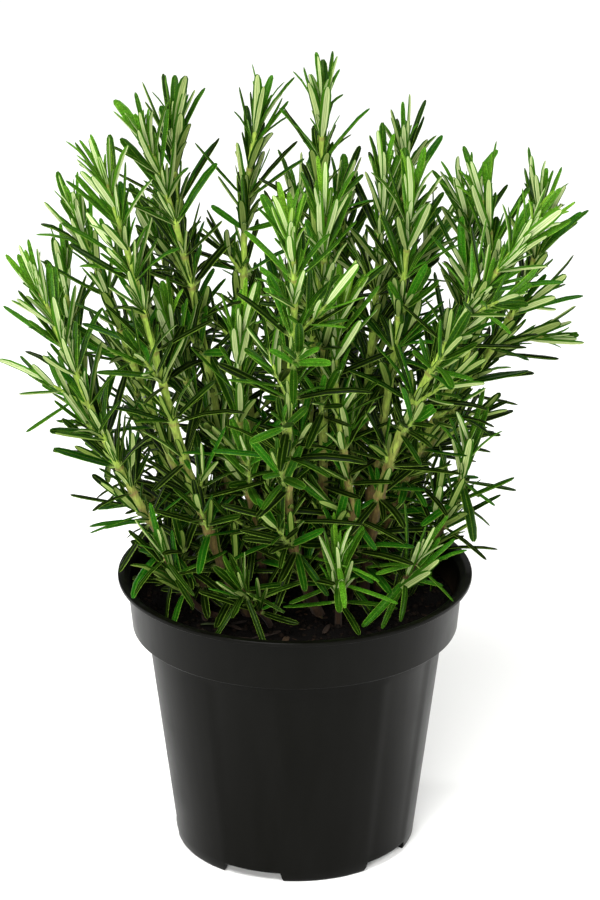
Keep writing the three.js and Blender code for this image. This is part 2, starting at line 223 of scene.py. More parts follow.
def notchAngles():
    return [radians(pot["firstNotch"] + i * 360 / pot["notchCount"]) for i in range(pot["notchCount"])]


# Angle of a point round the pot: zero at the front, positive toward the right
def angleRound(x, y):
    return atan2(x, -y)


def makePotCutter():
    bm = bmesh.new()
    for angle in notchAngles():
        turn = Matrix.Rotation(angle, 4, "Z")
        wedge = bmesh.ops.create_cube(bm, size=1)["verts"]
        for vert in wedge:
            isLow = vert.co.z < 0
            halfWidth = pot["notchHalfWidth"] + (pot["notchSlant"] if isLow else 0)
            reach = pot["notchReach"] if vert.co.y < 0 else -pot["notchReach"] / 2
            height = -pot["cutBelow"] if isLow else pot["footHeight"]
            vert.co = (copysign(halfWidth, vert.co.x), -pot["footInnerRadius"] - reach, height)
        bmesh.ops.transform(bm, matrix=turn, verts=wedge)
        drain = bmesh.ops.create_cone(bm, segments=pot["drainSegments"], radius1=pot["drainRadius"],
                                      radius2=pot["drainRadius"], depth=pot["drainCut"],
                                      cap_ends=True)["verts"]
        bmesh.ops.transform(bm, matrix=turn @ Matrix.Translation((0, -pot["drainRing"], pot["footHeight"])),
                            verts=drain)
    return finishMesh("pot_cutter", bm, [])


def makePot():
    wall = pot["wall"]
    lipUnder = pot["height"] - pot["lipThickness"]
    floorZ = pot["footHeight"] + pot["floorThickness"]
    fluteLow, fluteHigh = pot["fluteZ"]
    bodyRings = [fluteLow, fluteLow + pot["fluteEnd"], fluteHigh - pot["fluteEnd"], fluteHigh]
    profile = [
        (0, pot["footHeight"]),
        (pot["footInnerRadius"], pot["footHeight"]),
        (pot["footInnerRadius"], 0),
        (pot["footOuterRadius"], 0),
        (pot["bodyBottomRadius"], pot["baseEdgeRound"]),
        *[(bodyRadius(z), z) for z in bodyRings],
        (pot["bodyTopRadius"], pot["bodyTopZ"]),
        (pot["collarBottomRadius"], pot["collarBottomZ"]),
        (pot["collarTopRadius"], lipUnder),
        (pot["lipRadius"], lipUnder),
        (pot["lipRadius"], pot["height"]),
        (pot["lipInnerRadius"], pot["height"]),
        (pot["collarTopRadius"] - wall, lipUnder),
        *reversed(innerWall(floorZ, wall)),
        (0, floorZ),
    ]
    bm = bmesh.new()
    spinProfile(bm, profile, pot["segments"])

    cornerAngle = radians(pot["cornerAngle"])
    corners = [e for e in bm.edges if e.is_manifold and e.calc_face_angle() > cornerAngle]
    bmesh.ops.bevel(bm, geom=corners, offset=pot["edgeRound"], offset_type="OFFSET",
                    segments=pot["edgeSteps"], profile=0.5, affect="EDGES", material=-1, clamp_overlap=True)

    # Shallow flutes above the notches, pressed into the outside between soft edges
    margin = pot["ringMargin"]
    for vert in bm.verts:
        x, y, z = vert.co
        radius = hypot(x, y)
        if radius < bodyRadius(z) - pot["nearWall"] or not fluteLow + margin < z < fluteHigh - margin:
            continue
        for angle in notchAngles():
            off = (angleRound(x, y) - angle + pi) % (2 * pi) - pi
            inside = radians(pot["fluteAngle"] / 2) - abs(off)
            if inside > 0:
                pressed = min(inside / radians(pot["fluteSide"]), 1) * pot["fluteDepth"]
                vert.co.x *= (radius - pressed) / radius
                vert.co.y *= (radius - pressed) / radius
                break
    bmesh.ops.recalc_face_normals(bm, faces=bm.faces)

    piece = finishMesh("nursery_pot", bm, [])
    cutter = makePotCutter()
    cut = piece.modifiers.new("notches_and_drains", "BOOLEAN")
    cut.operation = "DIFFERENCE"
    cut.solver = "EXACT"
    cut.object = cutter
    depsgraph = bpy.context.evaluated_depsgraph_get()
    mesh = bpy.data.meshes.new_from_object(piece.evaluated_get(depsgraph))
    piece.modifiers.clear()
    piece.data = mesh
    mesh.materials.clear()
    mesh.materials.append(makePotPlastic())
    mesh.set_sharp_from_angle(angle=radians(pot["sharpAngle"]))
    bpy.data.objects.remove(cutter)
    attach(piece, "root")
    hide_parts("pot")


# Black polypropylene, injection moulded: satin, with broad soft highlights, faint flow marks up the wall and
# a brown bloom of dried soil inside
def makePotPlastic():
    material, add = newMaterial("black_polypropylene_moulded")
    place = add("TexCoord", {}, output="Object")
    # Flow marks, about 6 mm wide and drawn out up the wall
    stretched = add("Mapping", {"Vector": place, "Scale": (1, 1, 0.12)})
    flow = add("TexNoise", {"Vector": stretched, "Scale": 160, "Detail": 4})
    colour = add("ValToRGB", {0: flow}, stops=[(0.3, "050503"), (0.7, "080806")])
    # Moulded grain, 0.35 mm, and smears about 20 mm across
    grain = add("TexNoise", {"Vector": place, "Scale": 2800, "Detail": 2})
    smear = add("TexNoise", {"Vector": place, "Scale": 45, "Detail": 6, "Roughness": 0.65})
    # Inside above the soil: nearer the axis than the middle of the collar's wall
    x, y, z = add("SeparateXYZ", {0: place}).node.outputs
    flat = add("CombineXYZ", {0: x, 1: y})
    radius = add("VectorMath", {0: flat}, operation="LENGTH", output="Value")
    slope = (pot["collarTopRadius"] - pot["collarBottomRadius"]) / (pot["height"] - pot["collarBottomZ"])
    foot = (pot["collarBottomRadius"] - pot["wall"] / 2 - pot["collarBottomZ"] * slope) * mm
    wallMiddle = add("Math", {0: z, 1: slope, 2: foot}, operation="MULTIPLY_ADD")
    depth = add("Math", {0: wallMiddle, 1: radius}, operation="SUBTRACT")
    inside = add("MapRange", {"Value": depth, "From Min": 0.0, "From Max": 0.0003})
    for start, full in (pot["bloomFoot"], pot["bloomTop"]):
        height = add("MapRange", {"Value": z, "From Min": start * mm, "From Max": full * mm})
        inside = add("Math", {0: inside, 1: height}, operation="MULTIPLY")
    patchy = add("Math", {0: inside, 1: smear}, operation="MULTIPLY", use_clamp=True)
    dusty = add("Mix", {0: patchy, 6: colour, 7: "2e241a"}, data_type="RGBA", output=2)
    roughness = add("MapRange", {"Value": smear, "From Min": 0.3, "From Max": 0.7, "To Min": 0.28,
                                           "To Max": 0.38})
    bump = add("Bump", {"Height": grain, "Strength": 0.12, "Distance": 0.00005})
    wave = add("Bump", {"Height": flow, "Strength": 0.25, "Distance": 0.0002, "Normal": bump})
    return finishMaterial(material, {"Base Color": dusty, "Roughness": roughness, "IOR": 1.49,
                                     "Specular IOR Level": 0.06, "Normal": wave})


makePot()
print("pot made")


# Soil: a lumpy fill with loose crumbs and chips of bark on it
soil = {
    "seed": 4,
    "top": 100, "segments": 120, "ringStep": 1.5, "seatGap": 0.3, "sharpAngle": 60,
    # each size of lump: its height, lumps per millimetre, and where its noise is cut
    "lumps": [(1.3, 0.045, 3.1), (0.7, 0.33, 7.7), (0.3, 0.9, 1.3)],
    "crumbs": 1900, "crumbSize": (0.35, 1.5), "crumbRarity": 2.2, "crumbWidth": (0.6, 1),
    "crumbHeight": (0.5, 0.8),
    "chips": 260, "chipLength": (1.5, 5.0), "chipShape": (0.5, 0.16, 0.09),
    # for crumbs and chips
    "dents": (0.8, 1.15), "tilt": 0.5, "sideTilt": 0.3, "raised": 0.35, "spreadOver": 0.99,
    "toneVaries": 0.6, "chipTone": 0.4,
}


def soilHeight(x, y):
    height = soil["top"]
    for lump, often, cut in soil["lumps"]:
        height += lump * noise.noise(Vector((x * often, y * often, cut)))
    return height


def makeSoilFill(material):
    wall = pot["wall"] + soil["seatGap"]
    bottom = pot["footHeight"] + pot["floorThickness"] + soil["seatGap"]
    collarHeight = pot["height"] - pot["lipThickness"] - pot["collarBottomZ"]
    collarShare = (soil["top"] - pot["collarBottomZ"]) / collarHeight
    topRadius = pot["collarBottomRadius"] - wall
    topRadius += (pot["collarTopRadius"] - pot["collarBottomRadius"]) * collarShare
    rings = int(topRadius / soil["ringStep"])
    profile = [
        (0, bottom),
        *innerWall(bottom, wall),
        *[(topRadius * (rings - i) / rings, soil["top"]) for i in range(rings + 1)],
    ]
    bm = bmesh.new()
    spinProfile(bm, profile, soil["segments"])
    for vert in bm.verts:
        if vert.co.z > soil["top"] - weldWithin:
            vert.co.z = soilHeight(vert.co.x, vert.co.y)
    piece = finishMesh("potting_soil", bm, [material], soil["sharpAngle"])
    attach(piece, "root")
    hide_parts("soil")
    return topRadius


def placeOnSoil(reach, draws):
    away = reach * sqrt(draws.random())
    angle = draws.uniform(0, 2 * pi)
    return away * cos(angle), away * sin(angle)


# Lumps from one small ball: each is stretched, dented and laid on the soil
def makeCrumbs(material, reach, draws):
    bm = bmesh.new()
    tone = bm.verts.layers.float.new("crumbTone")
    for i in range(soil["crumbs"] + soil["chips"]):
        isChip = i >= soil["crumbs"]
        ball = bmesh.ops.create_icosphere(bm, subdivisions=1, radius=1)["verts"]
        x, y = placeOnSoil(reach * soil["spreadOver"], draws)
        if isChip:
            size = Vector(soil["chipShape"]) * draws.uniform(*soil["chipLength"])
        else:
            low, high = soil["crumbSize"]
            radius = low + (high - low) * draws.random() ** soil["crumbRarity"]
            width = draws.uniform(*soil["crumbWidth"])
            size = Vector((1, width, draws.uniform(*soil["crumbHeight"]))) * radius
        turn = Matrix.Rotation(draws.uniform(0, 2 * pi), 4, "Z")
        tilt = Matrix.Rotation(draws.uniform(-soil["tilt"], soil["tilt"]), 4, "X")
        tilt = tilt @ Matrix.Rotation(draws.uniform(-soil["sideTilt"], soil["sideTilt"]), 4, "Y")
        rest = Matrix.Translation((x, y, soilHeight(x, y) + size.z * soil["raised"]))
        shade = draws.random() * soil["toneVaries"] + (soil["chipTone"] if isChip else 0)
        for vert in ball:
            vert.co *= draws.uniform(*soil["dents"])
            vert[tone] = shade
        bmesh.ops.transform(bm, matrix=rest @ turn @ tilt @ Matrix.Diagonal(size.to_4d()), verts=ball)
    piece = finishMesh("soil_crumbs", bm, [material])
    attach(piece, "root")


# Damp peat: very dark, dull and grainy, with brown chips of bark
def makePeat():
    material, add = newMaterial("damp_peat_loose")
    place = add("TexCoord", {}, output="Object")
    # Crumb colour, patches of 4 mm over grains of 0.6 mm
    patches = add("TexNoise", {"Vector": place, "Scale": 250, "Detail": 8, "Roughness": 0.7})
    colour = add("ValToRGB", {0: patches}, stops=[(0.35, "040302"), (0.55, "070504"), (0.75, "120d09")])
    tone = add("Attribute", {}, attribute_name="crumbTone", output="Fac")
    barky = add("ValToRGB", {0: tone}, stops=[(0.0, 0.0), (0.6, 0.1), (0.93, 0.4), (1.0, 0.9)])
    mixed = add("Mix", {0: barky, 6: colour, 7: "443222"}, data_type="RGBA", output=2)
    grains = add("TexNoise", {"Vector": place, "Scale": 1600, "Detail": 4})
    bump = add("Bump", {"Height": grains, "Strength": 0.8, "Distance": 0.0004})
    return finishMaterial(material, {"Base Color": mixed, "Roughness": 0.88, "Specular IOR Level": 0.08,
                                     "Normal": bump})


peat = makePeat()
soilDraws = random.Random(soil["seed"])
soilReach = makeSoilFill(peat)
makeCrumbs(peat, soilReach, soilDraws)
print("soil laid")


# How the leaf pairs change from a stem's tip downward: millimetres along it, degrees away from it
growth = {
    "firstPair": 2, "bareFoot": 9,
    "opensOver": 60, "growsOver": 26, "turnVaries": 0.22,
    # at the tip, how much more at the foot, and how much it varies
    "spread": (12, 68, 9), "length": (21, 7, 2.5), "curl": (-0.03, 0.1, 0.05),
    "spacing": (4, 9, 3), "spacingOver": 34,
}

# Ways to bend a leaf clear: radians round the stem, radians away from it, share of its length
dodges = [
    (0, 0, 1), (0.35, 0, 1), (-0.35, 0, 1), (0, -0.25, 1), (0, 0.25, 1), (0.6, 0, 0.9), (-0.6, 0, 0.9),
    (0.3, -0.3, 0.85), (-0.3, -0.3, 0.85), (0, 0, 0.75), (0.5, 0.25, 0.7), (-0.5, 0.25, 0.7), (0, -0.3, 0.6),
]

# Limits that the leaves keep to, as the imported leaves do
bush = {
    "aboveSoil": 3, "aboveRim": 3, "insideRim": 7,
    "halfWidth": 113.5, "halfDepth": 83, "top": 326,
    "leafReach": 1.645, "leafGap": 0.35, "wideAt": 0.6, "neck": 0.12,
    "boneStep": 24, "tipRadius": 0.8, "rootCollar": 1.5,
}

# Each stem is a smooth line through four points, from the soil to its growing tip, and a radius at the soil
stems = {
    "stem_left_outer": (1.8, [(-25, 10, 100), (-47, 8, 154), (-66, 2, 210), (-83, -4, 262)]),
    "stem_left_low": (1.8, [(-30, -3, 100), (-57, -12, 141), (-77, -18, 186), (-97, -22, 240)]),
    "stem_left_behind": (1.6, [(-30, 24, 100), (-54, 30, 128), (-79, 34, 163), (-90, 36, 229)]),
    "stem_left_tall": (1.9, [(-18, 13, 100), (-29, 8, 166), (-40, 4, 232), (-56, 2, 290)]),
    "stem_back_left_tall": (1.8, [(-17, 30, 100), (-28, 33, 156), (-42, 38, 228), (-47, 42, 284)]),
    "stem_front_left": (2.0, [(-19, -13, 100), (-40, -22, 161), (-56, -30, 229), (-70, -36, 287)]),
    "stem_middle_left_tall": (1.8, [(-9, 22, 100), (-17, 25, 163), (-20, 27, 232), (-14, 28, 291)]),
    "stem_topmost": (2.0, [(3, 15, 100), (5, 14, 168), (9, 12, 236), (10, 12, 304)]),
    "stem_back_right_tall": (1.8, [(17, 33, 100), (23, 36, 155), (36, 40, 219), (43, 42, 275)]),
    "stem_right_tall": (1.8, [(33, 11, 100), (45, 6, 154), (69, 2, 212), (71, 0, 269)]),
    "stem_right_inner_tall": (1.7, [(25, 24, 100), (40, 24, 151), (62, 24, 208), (65, 24, 259)]),
    "stem_front_right": (2.1, [(27, -3, 100), (37, -14, 166), (59, -26, 221), (88, -36, 268)]),
    "stem_right_outer": (1.8, [(38, 21, 100), (51, 16, 156), (81, 12, 211), (94, 8, 264)]),
    "stem_right_drooping": (1.6, [(33, 31, 100), (42, 33, 146), (66, 34, 184), (99, 34, 199)]),
    "stem_front_middle": (2.1, [(9, -13, 100), (-3, -34, 164), (-1, -52, 224), (-2, -64, 276)]),
    "stem_short_left": (1.5, [(-11, -2, 100), (-16, -10, 140), (-21, -14, 181), (-20, -16, 220)]),
    "stem_front_inner": (1.9, [(11, 0, 100), (11, -12, 161), (11, -24, 221), (11, -32, 273)]),
    "stem_short_right": (1.6, [(20, -8, 100), (22, -16, 148), (16, -24, 195), (19, -28, 236)]),
    "stem_middle_right": (1.8, [(22, 14, 100), (26, 12, 160), (31, 10, 220), (34, 8, 272)]),
    "stem_behind_topmost": (1.7, [(8, 27, 100), (14, 25, 151), (17, 27, 205), (19, 28, 256)]),
    "stem_right_middle": (1.8, [(21, 4, 100), (32, 0, 161), (40, -4, 221), (44, -8, 270)]),
    "stem_right_low": (1.4, [(41, 11, 100), (53, 10, 119), (63, 8, 140), (68, 4, 170)]),
    "stem_left_inner": (1.5, [(-13, 7, 100), (-20, 2, 149), (-37, -2, 184), (-48, -6, 220)]),
    "sprout_front": (1.3, [(17, -24, 100), (17, -26, 110), (17, -27, 120), (17, -27, 130)]),
    "sprout_front_right": (1.2, [(34, -12, 100), (38, -14, 108), (43, -15, 116), (48, -15, 125)]),
    "sprout_left": (1.3, [(-33, -15, 100), (-40, -18, 108), (-46, -20, 118), (-51, -21, 130)]),
    "sprout_front_left": (1.2, [(-10, -24, 100), (-13, -29, 108), (-17, -34, 115), (-20, -38, 123)]),
    "stem_back_left": (1.7, [(-20, 41, 100), (-33, 49, 145), (-45, 57, 190), (-55, 62, 236)]),
    "stem_back": (1.8, [(-4, 38, 100), (-6, 49, 150), (-4, 59, 200), (2, 66, 248)]),
    "stem_back_right": (1.7, [(12, 44, 100), (24, 51, 144), (40, 58, 188), (54, 62, 230)]),
    "stem_back_left_low": (1.5, [(-31, 36, 100), (-45, 47, 122), (-58, 56, 148), (-68, 60, 182)]),
    "stem_back_low": (1.5, [(4, 49, 100), (6, 57, 126), (10, 64, 152), (14, 67, 182)]),
    "stem_back_right_low": (1.5, [(28, 43, 100), (42, 50, 122), (56, 54, 148), (68, 56, 178)]),
}

# Repeatable draws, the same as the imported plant's
plantSeed = 61
drawFor = {"turn": 1, "azimuth": 2, "spread": 3, "length": 4, "curl": 5, "spacing": 6}
hashSteps = (7919, 911, 101)
hashFactors = (0x9e3779b1, 0x85ebca6b, 0xc2b2ae35)
hashMask = 0xffffffff


def drawOf(stem, leaf, which):
    key = stem * hashSteps[0] + leaf * hashSteps[1] + drawFor[which] * hashSteps[2] + plantSeed
    value = (key * hashFactors[0]) & hashMask
    value = ((value ^ (value >> 15)) * hashFactors[1]) & hashMask
    value = ((value ^ (value >> 13)) * hashFactors[2]) & hashMask
    return (value ^ (value >> 16)) / 2 ** 32


# A stem or twig: a smooth line through four points, a third of its length apart
def makeShoot(points, radius, tipRadius, turn):
    p0, p1, p2, p3 = points
    controls = (p0, (p0 * -5 + p1 * 18 - p2 * 9 + p3 * 2) / 6, (p0 * 2 - p1 * 9 + p2 * 18 - p3 * 5) / 6, p3)
    length = (p1 - p0).length + (p2 - p1).length + (p3 - p2).length
    return {"controls": controls, "length": length, "radius": radius, "tipRadius": tipRadius, "turn": turn,
            "leaves": [], "nodes": []}


def pointOn(shoot, t):
    a, b, c, d = shoot["controls"]
    k = 1 - t
    return a * k ** 3 + b * (3 * k * k * t) + c * (3 * k * t * t) + d * t ** 3


def headingOn(shoot, t):
    a, b, c, d = shoot["controls"]
    k = 1 - t
    return ((b - a) * (k * k) + (c - b) * (2 * k * t) + (d - c) * (t * t)).normalized()


# Two directions square to a stem, the first one as near to +Y as it can be
def squareTo(heading):
    first = Vector((0, 1, 0))
    first = (first - heading * first.dot(heading)).normalized()
    return first, heading.cross(first)


def radiusAt(shoot, t):
    return shoot["radius"] + (shoot["tipRadius"] - shoot["radius"]) * t


# The main leaf pairs of a stem, from its tip down: each pair stands square to the one above it
def mainLeaves(index, stem):
    fromTip = growth["firstPair"]
    closest, wider, varies = growth["spacing"]
    pair = 0
    while fromTip < stem["length"] - growth["bareFoot"]:
        opened = 1 - exp(-fromTip / growth["opensOver"])
        grown = min(fromTip / growth["growsOver"], 1)
        for side in (0, 1):
            leaf = pair * 2 + side
            azimuth = stem["turn"] + (pair / 2 + side) * pi
            azimuth += (drawOf(index, leaf, "azimuth") * 2 - 1) * growth["turnVaries"]
            wish = {"t": 1 - fromTip / stem["length"], "azimuth": azimuth, "fromTip": fromTip}
            for key, share in (("spread", opened), ("length", grown), ("curl", opened)):
                atTip, more, jitter = growth[key]
                wish[key] = atTip + more * share + (drawOf(index, leaf, key) * 2 - 1) * jitter
            yield {**wish, "spread": radians(wish["spread"])}
        fromTip += closest + wider * min(fromTip / growth["spacingOver"], 1)
        fromTip += varies * drawOf(index, pair, "spacing")
        pair += 1


# Where a leaf runs: its root, its direction, the face that looks at the stem, and its bend
def layLeaf(shoot, wish):
    heading = headingOn(shoot, wish["t"])
    first, second = squareTo(heading)
    out = first * cos(wish["azimuth"]) + second * sin(wish["azimuth"])
    spread = wish["spread"]
    return {
        **wish,
        "root": pointOn(shoot, wish["t"]),
        "along": heading * cos(spread) + out * sin(spread),
        "face": heading * sin(spread) - out * cos(spread),
    }


def leafPoint(leaf, s):
    length = leaf["length"]
    return leaf["root"] + leaf["along"] * (s * length) - leaf["face"] * (leaf["curl"] * length * s * s)


def isFree(point, lowest):
    rimClear = point.z > pot["height"] + bush["aboveRim"]
    rimClear = rimClear or hypot(point.x, point.y) < pot["lipInnerRadius"] - bush["insideRim"]
    inBush = abs(point.x) <= bush["halfWidth"] and abs(point.y) <= bush["halfDepth"]
    return rimClear and inBush and lowest < point.z <= bush["top"]


def leafBones(leaf):
    middle = leafPoint(leaf, bush["wideAt"])
    return [(leafPoint(leaf, bush["neck"]), middle, bush["leafReach"]),
            (middle, leafPoint(leaf, 1), bush["leafReach"])]


def shootBones(shoot):
    pieces = ceil(shoot["length"] / bush["boneStep"])
    joints = [pointOn(shoot, i / pieces) for i in range(pieces + 1)]
    return [(joints[i], joints[i + 1], radiusAt(shoot, i / pieces)) for i in range(pieces)]


# Whether straight pieces keep clear of all the others
def isClear(bones, others, gap):
    starts, runs, reaches = others
    parallel = 1e-9
    for start, end, reach in bones:
        u = np.array(end - start)
        w = np.array(start) - starts
        uu, uv, vv = u @ u, runs @ u, np.einsum("ij,ij->i", runs, runs)
        uw, vw = w @ u, np.einsum("ij,ij->i", runs, w)
        skew = uu * vv - uv * uv
        s = np.clip(np.where(skew > parallel, (uv * vw - vv * uw) / np.maximum(skew, parallel), 0), 0, 1)
        t = np.clip((uv * s + vw) / vv, 0, 1)
        s = np.clip((uv * t - uw) / uu, 0, 1)
        nearest = np.linalg.norm(w + s[:, None] * u - t[:, None] * runs, axis=1)
        if (nearest < reach + reaches + gap).any():
            return False
    return True


def bonesAsArrays(bones):
    starts = np.array([start for start, end, reach in bones])
    ends = np.array([end for start, end, reach in bones])
    return starts, ends - starts, np.array([reach for start, end, reach in bones])


def growLeaf(shoot, wish, others, ways, lowest, gap):
    for turn, opened, shorter in ways:
        leaf = layLeaf(shoot, {**wish, "azimuth": wish["azimuth"] + turn, "spread": wish["spread"] + opened,
                               "length": wish["length"] * shorter})
        if not (isFree(leafPoint(leaf, bush["wideAt"]), lowest) and isFree(leafPoint(leaf, 1), lowest)):
            continue
        if isClear(leafBones(leaf), others, gap):
            return leaf
    return None


def othersOf(plant, own):
    bones = []
    for stem in plant:
        if stem is not own:
            bones += stem["bones"]
            for leaf in stem["leaves"]:
                bones += leafBones(leaf)
    return bonesAsArrays(bones)


def growMain():
    plant = []
    for index, (name, (radius, points)) in enumerate(stems.items()):
        points = [Vector(p) for p in points]
        points[0].z += bush["rootCollar"]
        stem = makeShoot(points, radius, bush["tipRadius"], drawOf(index, 0, "turn") * pi)
        stem["name"] = name
        stem["bones"] = shootBones(stem)
        plant.append(stem)
    for index, stem in enumerate(plant):
        others = othersOf(plant, stem)
        for wish in mainLeaves(index, stem):
            if not stem["nodes"] or wish["fromTip"] > stem["nodes"][-1]["fromTip"]:
                stem["nodes"].append(wish)
            leaf = growLeaf(stem, wish, others, dodges, soil["top"] + bush["aboveSoil"], bush["leafGap"])
            if leaf:
                stem["leaves"].append(leaf)
                stem["mainCount"] = len(stem["leaves"])
    return plant


plant = growMain()
print("main leaves placed:", sum(len(stem["leaves"]) for stem in plant))


# What fills the bush out: crowded tips, long rising leaves, tight bundles, small leaves in the axils, a skirt
# round the foot and leafy twigs. Turns are in radians and spreads in degrees. A leaf ages with its distance
# from the tip times "ages", and "grown" is how far it has widened
tufts = {
    "seed": 11, "gap": -1.3, "lowest": 1.4,
    # as the dodges of the main leaves
    "dodges": [(0, 0, 1), (0.5, 0, 0.95), (-0.5, 0, 0.95), (0, -0.3, 0.85), (0, 0.3, 0.8)],
}

tips = {
    # the pairs that crowd a growing tip: distance from it, lengths and spreads
    "pairs": [(0, (5.25, 7.84), (1, 10)), (0.8, (8.25, 12.32), (4, 13)), (3.5, (12, 17.92), (8, 17)),
              (8, (15.75, 23.52), (13, 22))],
    "turn": 0.3, "curl": (-0.1, 0.04),
}

risers = {
    "fromTip": (5, 80), "share": 0.85, "uprightFrom": 0.6, "ages": 0.8, "grown": 16,
    "turn": 0.7, "spread": (10, 34), "length": (20, 31), "curl": (-0.1, 0.12),
}

bundles = {
    "fromTip": 14, "upperEnd": 105, "upperLeaves": (3, 6), "lowerLeaves": (1, 3), "ages": 0.6,
    "grown": (4, 13),
    "turn": pi, "spread": (5, 24), "length": (9, 18), "curl": (-0.08, 0.14),
}

axils = {
    "leaves": (1, 4), "above": 1.0, "tipShare": 0.3, "fullFrom": 30, "openOver": 110, "ages": 0.5,
    # lowest, highest near the tip, and how much more at the foot
    "grown": (2, 6, 20), "spread": (7, 27, 42), "length": (10, 19, 9),
    "turn": 0.9,
    # most leaves are nearly straight, a few hooked
    "curls": [(-0.12, 0.16), (0.2, 0.36)], "curlShares": [0.86, 0.14],
}

skirt = {
    "height": 52, "leaves": (2, 5),
    "turn": pi, "spread": (80, 132), "length": (15, 27), "curl": (-0.02, 0.16),
}

twigs = {
    "share": 0.4, "fromTip": 42, "turn": 0.4, "spread": (26, 52), "length": (9, 22), "rise": 0.16,
    "radius": 0.75, "tipRadius": 0.45,
    "firstPair": 0.3, "step": 3.2, "stepVaries": (0.8, 1.3), "leafyShare": 0.85,
    "leafSpread": (10, 66), "leafSpreadVaries": 6, "ages": 0.35,
    "leaf": {"turn": 0.3, "length": (11, 24), "curl": (-0.06, 0.08)},
}


# A small leaf at its place: its turn, spread, length and curl are drawn in this order
def drawLeaf(place, kind, draws):
    return {**place, "azimuth": place["azimuth"] + draws.uniform(-kind["turn"], kind["turn"]),
            "spread": radians(draws.uniform(*kind["spread"])),
            "length": draws.uniform(*kind["length"]), "curl": draws.uniform(*kind["curl"])}


# The leaf pairs crowded round a growing tip
def growTips(stem, draws):
    for i, (fromTip, length, spread) in enumerate(tips["pairs"]):
        for side in (0, 1):
            place = {"t": 1 - fromTip / stem["length"], "fromTip": fromTip,
                     "azimuth": stem["turn"] + (i / 2 + 0.25 + side) * pi}
            yield stem, drawLeaf(place, {**tips, "length": length, "spread": spread}, draws)


# Long leaves that rise beside the upper part of a stem, unless it droops
def growRisers(stem, draws):
    isUpright = headingOn(stem, 1).z > risers["uprightFrom"]
    nearest, farthest = risers["fromTip"]
    for node in stem["nodes"]:
        if not nearest < node["fromTip"] < farthest:
            continue
        for side in (0, 1):
            if draws.random() > risers["share"]:
                continue
            place = {**node, "fromTip": node["fromTip"] * risers["ages"], "grown": risers["grown"],
                     "azimuth": node["azimuth"] + side * pi}
            riser = drawLeaf(place, risers, draws)
            if isUpright:
                yield stem, riser


# Short leaves close against the stem, which hide it above each leaf pair
def growBundles(stem, draws):
    for node in stem["nodes"]:
        if node["fromTip"] < bundles["fromTip"]:
            continue
        isUpper = node["fromTip"] < bundles["upperEnd"]
        for i in range(draws.randint(*bundles["upperLeaves" if isUpper else "lowerLeaves"])):
            place = {"t": node["t"], "fromTip": node["fromTip"] * bundles["ages"],
                     "grown": draws.uniform(*bundles["grown"]), "azimuth": pi}
            yield stem, drawLeaf(place, bundles, draws)


# Small leaves in the axils, longer and more open toward the foot
def growAxils(stem, draws):
    for node in stem["nodes"]:
        opened = min(node["fromTip"] / axils["openOver"], 1)
        share = axils["tipShare"] + (1 - axils["tipShare"]) * min(node["fromTip"] / axils["fullFrom"], 1)
        grown, spread, length = ((low, high + more * opened)
                                 for low, high, more in (axils["grown"], axils["spread"], axils["length"]))
        for side in (0, 1):
            azimuth = node["azimuth"] + side * pi
            for i in range(draws.randint(*axils["leaves"])):
                if draws.random() > share:
                    continue
                yield stem, {"t": min(node["t"] + axils["above"] / stem["length"], 1),
                             "fromTip": node["fromTip"] * axils["ages"], "grown": draws.uniform(*grown),
                             "azimuth": azimuth + draws.uniform(-axils["turn"], axils["turn"]),
                             "spread": radians(draws.uniform(*spread)), "length": draws.uniform(*length),
                             "curl": draws.uniform(*draws.choices(axils["curls"], axils["curlShares"])[0])}


# Leaves that stand out and droop round the foot of a stem
def growSkirt(stem, draws):
    for node in stem["nodes"]:
        if pointOn(stem, node["t"]).z > soil["top"] + skirt["height"]:
            continue
        for i in range(draws.randint(*skirt["leaves"])):
            place = {"t": node["t"], "fromTip": node["fromTip"], "azimuth": pi}
            yield stem, drawLeaf(place, skirt, draws)


# Short side shoots, each with its own pairs of leaves
def growTwigs(stem, others, draws):
    low, high = twigs["leafSpread"]
    for node in stem["nodes"]:
        for side in (0, 1):
            if node["fromTip"] < twigs["fromTip"] or draws.random() > twigs["share"]:
                continue
            length = draws.uniform(*twigs["length"])
            azimuth = node["azimuth"] + side * pi + draws.uniform(-twigs["turn"], twigs["turn"])
            spread = radians(draws.uniform(*twigs["spread"]))
            path = layLeaf(stem, {**node, "azimuth": azimuth, "spread": spread})
            rise = headingOn(stem, node["t"]) * (twigs["rise"] * length)
            points = [path["root"] + path["along"] * (length * i / 3) + rise * (i / 3) ** 2 for i in range(4)]
            twig = makeShoot(points, twigs["radius"], twigs["tipRadius"], draws.uniform(0, pi))
            endFree = isFree(points[3], soil["top"] + bush["aboveSoil"])
            if not endFree or not isClear(shootBones(twig), others, 0):
                continue
            stem["twigs"].append(twig)
            fromTip = twigs["firstPair"]
            pair = 0
            while fromTip < length * twigs["leafyShare"]:
                spread = low + (high - low) * (fromTip / length)
                varied = (spread - twigs["leafSpreadVaries"], spread + twigs["leafSpreadVaries"])
                for leafSide in (0, 1):
                    place = {"t": 1 - fromTip / twig["length"], "fromTip": node["fromTip"] * twigs["ages"],
                             "azimuth": twig["turn"] + (pair / 2 + leafSide) * pi}
                    yield twig, drawLeaf(place, {**twigs["leaf"], "spread": varied}, draws)
                fromTip += twigs["step"] * draws.uniform(*twigs["stepVaries"])
                pair += 1


